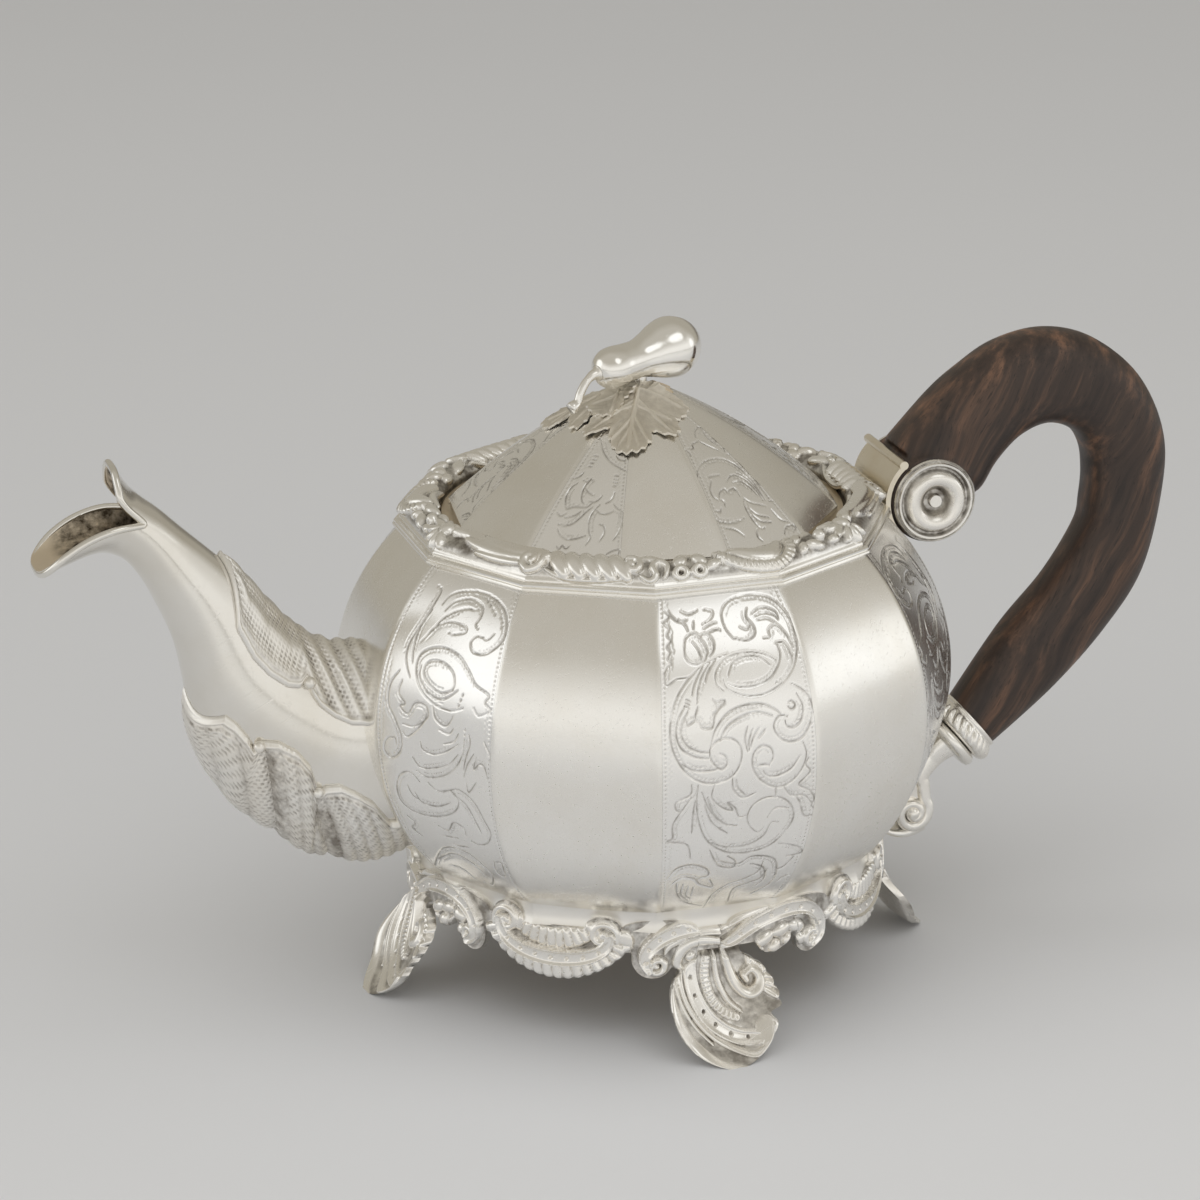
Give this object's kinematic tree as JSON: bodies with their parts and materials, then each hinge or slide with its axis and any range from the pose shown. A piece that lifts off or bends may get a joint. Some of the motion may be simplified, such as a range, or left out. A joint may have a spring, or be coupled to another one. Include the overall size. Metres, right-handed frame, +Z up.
{
  "type": "teapot",
  "caption": "Footed melon-panelled silver teapot with scroll border, shell feet, beaked spout, dark wooden handle and a loose domed lid with a fruit finial.",
  "frame": {"origin": "on the body's upright axis, in the plane of the table under the feet", "axes": "+Z up, the spout points along -X, the handle along +X, +Y to the far side of the pictured view"},
  "size_m": [0.2466, 0.1266, 0.1411],
  "materials": {
    "silver": "polished, with dark tarnish in the hollows",
    "wood": "satin, dark streaked hardwood"
  },
  "bodies": {
    "pot": {"base_plate": "silver", "body_shell": "silver", "mouth_collar": "silver", "rim_wire": "silver", "rim_border": "silver", "spout": "silver", "spout_shell": "silver", "spout_leaf": "silver", "handle": "wood", "upper_socket": "silver", "upper_socket_bead": "silver", "volute_boss_front": "silver", "volute_boss_back": "silver", "volute_pin": "silver", "lower_ferrule": "silver", "lower_knop": "silver", "lower_scroll": "silver", "lower_pin": "silver", "foot_ring": "silver", "apron_front_left": "silver", "apron_front_right": "silver", "apron_back_right": "silver", "apron_back_left": "silver", "foot_spout": "silver", "foot_front": "silver", "foot_handle": "silver", "foot_back": "silver"},
    "lid": {"lid_shell": "silver", "lid_bezel": "silver", "finial_pear": "silver", "finial_stem": "silver", "finial_leaves": "silver", "finial_stud": "silver", "finial_washer": "silver", "finial_nut": "silver"}
  },
  "joints": [
    {"name": "lid_lift", "type": "slide", "parent": "pot", "child": "lid", "axis": [0, 0, 1], "range_m": [0, 0.06]}
  ]
}
